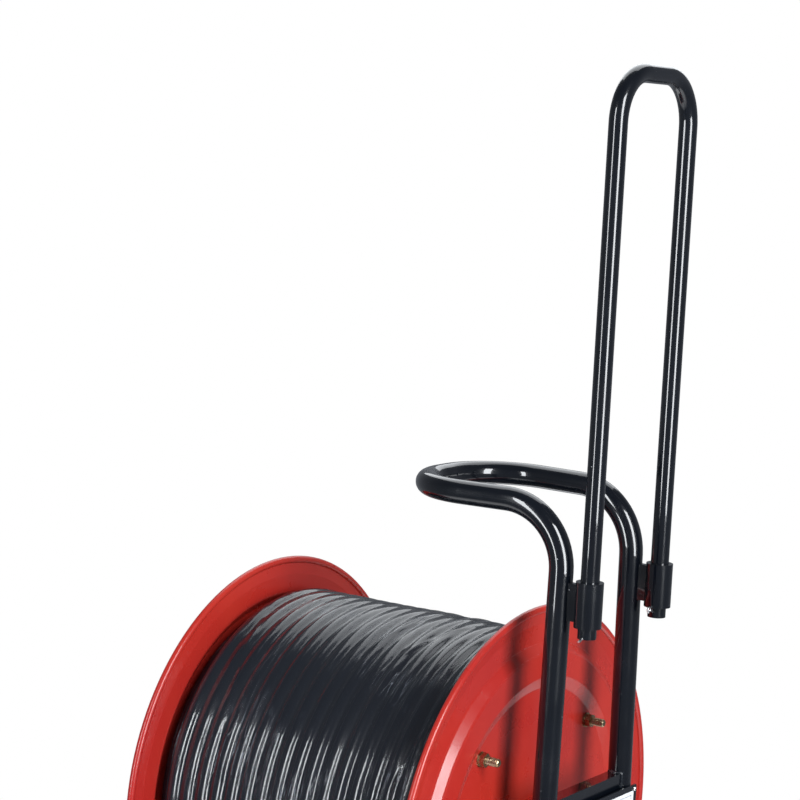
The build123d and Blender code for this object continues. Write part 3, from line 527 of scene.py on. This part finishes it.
# ================================================================ cable and film
WINDING_HALF = size("cable_winding").y / 2
BARREL_R = size("drum_barrel").x / 2
LAYERS = 3
CABLE_R = (WINDING_R - BARREL_R) / (2 * LAYERS)
TURN_COUNT = int(WINDING_HALF / CABLE_R)
LEAD = 2 * (WINDING_HALF - CABLE_R) / (TURN_COUNT - 1)
PER_TURN, PER_INNER_TURN = 72, 36  # points along the cable
CABLE_SLACK = 0.985  # keeps neighbours a hair apart
TAIL_ANGLE = math.radians(286)  # where the tail leaves the outer layer, round from +X
CROSS_START, CROSS_SHARE = 0.62, 0.3  # the part of a turn in which the cable crosses to the next place
TURN_LIFT = 0.0007  # how far a turn may lie above or below the rest
TURN_WANDER = 0.0008  # and how far to the side
CLIMB_ANGLE = 0.8  # over which the first outer turn climbs off the layer below
SETTLE_ANGLE = 2.0  # over which the last one loses its lift and wander, before the tail
FILM_ROWS, FILM_COLUMNS = 200, 320
FILM_END = 0.001  # from the film's edge to the end of the winding
FILM_RISE = 0.0006  # over the winding's mean outside
FILM_DIP = 0.0021  # between two turns
FILM_DIP_SHARPNESS = 1.4
FILM_FALL_START, FILM_FALL_RUN = 0.2, 0.7  # leads: the step down at the far end
FILM_FALL_SWING = 0.4  # leads: how much of the crossing the step follows
FILM_FALL_DEPTH = 1.75  # cable radii
FILM_CREASES = 26
turn_lift = seed.uniform(-TURN_LIFT, TURN_LIFT, TURN_COUNT)


def on_drum(angle, along, radius):
    """A point from its angle round the drum, from +X, its place along the axis and its radius."""
    x, z = drum.x + radius * np.cos(angle), drum.z + radius * np.sin(angle)
    return np.stack([x, drum.y + along, z], -1)


def eased(share):
    """A share held to 0..1, with a soft start and end."""
    share = np.clip(share, 0, 1)
    return share * share * (3 - 2 * share)


def crossing(share):
    """How much of a lead the cable has crossed at a share of its turn."""
    return eased((share - CROSS_START) / CROSS_SHARE)


def turn_places(angle, last):
    """How far along the axis a layer lies at an angle, counted over all its turns up to the last."""
    step = np.floor(angle / TURN)
    return -WINDING_HALF + CABLE_R + LEAD * np.clip(step + crossing(angle / TURN - step), 0, last)


def build_cable():
    """Three layers of one cable, laid to and fro. The outer one ends a turn before the far flange."""
    parts = []
    angle = np.linspace(0, TURN * TURN_COUNT, PER_INNER_TURN * TURN_COUNT)
    for layer, way, sides in ((1, 1, 8), (2, -1, 12)):
        layer_r = BARREL_R + (2 * layer - 1) * CABLE_R
        path = on_drum(angle, way * turn_places(angle, TURN_COUNT - 1), layer_r)
        parts.append(swept(path, CABLE_R * CABLE_SLACK, sides))
    last = TURN_COUNT - 2
    angle = np.linspace(0, TURN * last + TAIL_ANGLE, PER_TURN * (last + 1))
    settle = np.clip((angle[-1] - angle) / SETTLE_ANGLE, 0, 1)
    wander = smooth_noise(len(angle), TURN_WANDER, 40) * settle
    climb = np.clip(angle / CLIMB_ANGLE, 0, 1)
    lift = np.interp(angle / TURN, range(TURN_COUNT), turn_lift) * settle
    outer_r = BARREL_R + CABLE_R * (3 + 2 * climb) + lift - TURN_LIFT * climb
    path = on_drum(angle, turn_places(angle, last) + wander, outer_r)
    parts.append(swept(path, CABLE_R * CABLE_SLACK, 16))
    cable = piece("cable_turns", *joined(parts), LOOKS["cable_rubber"], "cable_rubber", "drum")
    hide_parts("cable_winding")


def build_film():
    """Stretch film round the winding: it dips between the turns and gathers into a few creases."""
    film_half = WINDING_HALF - FILM_END
    along = np.linspace(-film_half, film_half, FILM_ROWS)[:, None]
    angle = np.linspace(0, TURN, FILM_COLUMNS, endpoint=False)[None, :]
    crossed = crossing(angle / TURN)
    phase = (along + WINDING_HALF - CABLE_R) / LEAD - crossed
    valley = (1 - np.cos(TURN * phase)) / 2
    lift = np.interp(phase, range(TURN_COUNT), turn_lift)
    radius = WINDING_R + FILM_RISE + lift - FILM_DIP * valley**FILM_DIP_SHARPNESS
    outer_end = WINDING_HALF - LEAD
    past_end = (along - outer_end) / LEAD
    fall = eased((past_end + FILM_FALL_START - crossed * FILM_FALL_SWING) / FILM_FALL_RUN)
    radius = radius - FILM_FALL_DEPTH * CABLE_R * fall
    crease_and_highlight = np.zeros((FILM_ROWS, FILM_COLUMNS))
    for _ in range(FILM_CREASES):
        start, at = seed.uniform(-WINDING_HALF, outer_end), seed.uniform(0, TURN)
        slope, reach = seed.uniform(-0.07, 0.07), seed.uniform(0.2, 0.7)
        wide = seed.uniform(0.0016, 0.003)
        turn = (angle - at + math.pi) % TURN - math.pi
        ridge = np.exp(-(((along - start - slope * turn) / wide) ** 2) - (turn / reach) ** 2)
        crease_and_highlight = np.maximum(crease_and_highlight, ridge * seed.uniform(0.0004, 0.001))
    points = on_drum(*np.broadcast_arrays(angle, along, radius + crease_and_highlight)).reshape(-1, 3)
    faces = grid_faces(FILM_ROWS, FILM_COLUMNS)
    piece("film_wrap", points, faces, stretch_film(), "cable_rubber", "drum")


# ================================================================ tyres
SHARP_EDGE = math.radians(35)
TYRE_COLUMNS = 216
BLOCK_COLUMNS, CUT_COLUMNS = 9, 2  # of each block and of the cut between two
CUT_DEPTH = 0.0028
CUT_FROM = 0.33  # the cuts start outside the middle rib, as a share of the half width
CUT_REACH = 0.0055  # and stop this far down the shoulder


def build_tyre(side):
    """A solid tyre: rounded shoulders, two ring grooves and blocks cut across the crown.

    Its section is drawn as pairs of a share of the half width and a radius, from one bead to the other.
    """
    node = f"tyre_{side}"
    centre, extent = middle(node), size(node)
    wheel_r, half = extent.z / 2, extent.x / 2
    bead_r = size(f"rim_{side}").z / 2
    profile = [(-0.8, bead_r), (-0.97, bead_r + 0.003), (-1.0, bead_r + 0.009), (-0.99, wheel_r - 0.01)]
    profile += [(-0.93, wheel_r - 0.005), (-0.8, wheel_r - 0.0016), (-0.68, wheel_r - 0.0004)]
    crown = [(-0.6, 0), (-0.32, 0), (-0.3, 0.003), (-0.2, 0.003), (-0.18, 0), (0.18, 0), (0.2, 0.003)]
    crown += [(0.3, 0.003), (0.32, 0), (0.6, 0)]
    profile += [(x, wheel_r - depth) for x, depth in crown]
    profile += [(-x, r) for x, r in reversed(profile[:7])]
    points = []
    for x, r in profile:
        on_block = abs(x) > CUT_FROM and r > wheel_r - CUT_REACH
        for j in range(TYRE_COLUMNS):
            angle = TURN * j / TYRE_COLUMNS
            cut = on_block and j % BLOCK_COLUMNS < CUT_COLUMNS
            deep = r - CUT_DEPTH if cut else r
            points.append(centre + Vector((x * half, deep * math.cos(angle), deep * math.sin(angle))))
    faces = grid_faces(len(profile), TYRE_COLUMNS, wrap_rows=True)
    tyre = piece(f"tread_{side}", points, faces, LOOKS["tyre_rubber"], "tyre_rubber", f"wheel_{side}")
    tyre.data.set_sharp_from_angle(angle=SHARP_EDGE)
    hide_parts(node)


# ================================================================ welds, threads and label print
TUBE_BEAD_R, BAR_BEAD_R = 0.0021, 0.0019
BEAD_RIPPLE = 0.0032  # from one ripple to the next
TUBE_BEAD_INSET = 0.0035  # how far inside the uprights' outer side their foot's bead lies
BAR_BEAD_INSET = 0.0028  # how far a bar's bead lies inside the bar's end
THREAD_PITCH = 0.00125
THREAD_DEPTH = 0.0005
THREAD_RUN_OUT = 0.0008
THREAD_END_GAP, THREAD_NUT_GAP = 0.0009, 0.0001  # to the rod's end and to the nut


def bead(path, radius):
    """A weld bead along a closed path, with the ripples of its passes."""
    path = np.asarray(path)
    length = np.linalg.norm(np.roll(path, -1, 0) - path, axis=1)
    along = np.concatenate([[0], np.cumsum(length)[:-1]])
    ripple = 1 + 0.1 * np.cos(TURN * along / BEAD_RIPPLE) + seed.normal(0, 0.03, len(path))
    return swept(path, radius * ripple, 8, closed=True)


def ring_on_tube(centre, radius, count=90):
    """Where an upright tube stands on a level tube of the same radius along X."""
    angle = np.linspace(0, TURN, count, endpoint=False)
    x, y = radius * np.cos(angle), radius * np.sin(angle)
    z = np.sqrt(np.maximum(radius**2 - y**2, 0))
    return np.stack([centre.x + x, centre.y + y, centre.z + z], -1)


def build_welds():
    """Beads where the uprights stand on the axle tube and where the cross bars meet the uprights."""
    tube_r = size("rear_axle_tube").z / 2
    axle = middle("rear_axle_tube")
    upper, lower = middle("upper_cross_bar"), middle("lower_cross_bar")
    upper_half, lower_half = size("upper_cross_bar").x / 2, size("lower_cross_bar").x / 2
    splay = (lower_half - upper_half) / (upper.z - lower.z)
    foot_half = lower_half + splay * (lower.z - axle.z - tube_r) + tube_r - TUBE_BEAD_INSET
    parts = []
    for side in (-1, 1):
        foot = Vector((side * foot_half, axle.y, axle.z))
        parts.append(bead(ring_on_tube(foot, tube_r), TUBE_BEAD_R))
        for bar in ("upper_cross_bar", "lower_cross_bar"):
            parts.append(bead(bar_end(side, middle(bar), size(bar), tube_r), BAR_BEAD_R))
    piece("frame_welds", *joined(parts), weld_paint(), "frame_paint", "trolley")


def bar_end(side, at, extent, tube_r):
    """Where a box bar's end meets a round upright, as a closed path."""
    hy, hz = extent.y / 2, extent.z / 2
    corners = [(-hy, -hz), (hy, -hz), (hy, hz), (-hy, hz)]
    path = []
    for (y0, z0), (y1, z1) in zip(corners, corners[1:] + corners[:1]):
        for step in np.linspace(0, 1, 14, endpoint=False):
            y, z = y0 + (y1 - y0) * step, z0 + (z1 - z0) * step
            inward = tube_r - math.sqrt(max(tube_r**2 - y**2, 0))
            path.append((side * (extent.x / 2 - BAR_BEAD_INSET + inward), at.y + y, at.z + z))
    return path


def thread_sleeve(centre, radius, start, end):
    """A cut thread along Y on a rod's end."""
    sides, rows = 24, int(abs(end - start) / THREAD_PITCH * 6)
    angle = np.linspace(0, TURN, sides, endpoint=False)[None, :]
    along = np.linspace(start, end, rows)[:, None]
    phase = (along / THREAD_PITCH + angle / TURN) % 1.0
    ridge = 1 - 2 * np.abs(phase - 0.5)
    from_ends = np.minimum(along - min(start, end), max(start, end) - along)
    taper = np.clip(from_ends / THREAD_RUN_OUT, 0, 1)
    r = radius + 0.00002 + THREAD_DEPTH * ridge * taper
    x, z = centre.x + r * np.cos(angle), centre.z + r * np.sin(angle)
    points = np.stack([x, np.broadcast_to(along, r.shape), z], -1)
    return points.reshape(-1, 3), grid_faces(rows, sides)


def build_threads():
    """Threads on both ends of the four tie rods, from each nut outward."""
    near_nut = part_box("tie_nuts_near")[0][1]
    far_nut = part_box("tie_nuts_far")[1][1]
    parts = []
    for number in range(1, 5):
        rod = f"tie_rod_{number}"
        low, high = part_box(rod)
        near_end, far_end = low[1] + THREAD_END_GAP, high[1] - THREAD_END_GAP
        centre, radius = middle(rod), size(rod).x / 2
        parts.append(thread_sleeve(centre, radius, near_end, near_nut - THREAD_NUT_GAP))
        parts.append(thread_sleeve(centre, radius, far_nut + THREAD_NUT_GAP, far_end))
    piece("rod_threads", *joined(parts), LOOKS["yellow_zinc"], "yellow_zinc", "drum")


def build_label_print():
    """Generic rules and blocks on the foil label: a border, a heading bar and rows of short lines.

    The print is placed in shares of the label's width and height.
    """
    low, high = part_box("name_label")
    face, proud, sunk = low[1], 0.00012, 0.00005
    width, height = high[0] - low[0], high[2] - low[2]
    left, right, bottom, top, line = 0.03, 0.97, 0.04, 0.96, 0.007
    text_left, text_right, second_column = 0.08, 0.92, 0.4
    first_row, row_pitch, row_height = 0.74, 0.085, 0.022

    def bar(x0, x1, z0, z1):
        return slab(
            (low[0] + x0 * width, face - proud, low[2] + z0 * height),
            (low[0] + x1 * width, face + sunk, low[2] + z1 * height),
        )

    parts = [bar(left, right, 0.955, 0.955 + line), bar(left, right, bottom, bottom + line)]
    parts += [bar(left, left + line / 2, bottom, top), bar(right - line / 2, right, bottom, top)]
    parts += [bar(text_left, 0.3, 0.82, 0.9), bar(0.36, text_right, 0.845, 0.875)]
    for row in range(8):
        z = first_row - row * row_pitch
        first_length, second_length = 0.16 + 0.05 * (row % 3), 0.34 + 0.12 * ((row + 1) % 2)
        parts.append(bar(text_left, text_left + first_length, z, z + row_height))
        parts.append(bar(second_column, second_column + second_length, z, z + row_height))
        parts.append(bar(text_left, text_right, z - 0.03, z - 0.026))
    piece("label_print", *joined(parts), label_ink(), "label", "trolley", smooth=False)


# ================================================================ build
add_camera()
add_world()
add_floor()
for softbox in SOFTBOXES:
    add_softbox(*softbox)
bpy.context.scene.view_settings.view_transform = "Standard"
paint_nodes()
build_cable()
build_film()
for wheel_side in ("left", "right"):
    build_tyre(wheel_side)
build_welds()
build_threads()
build_label_print()
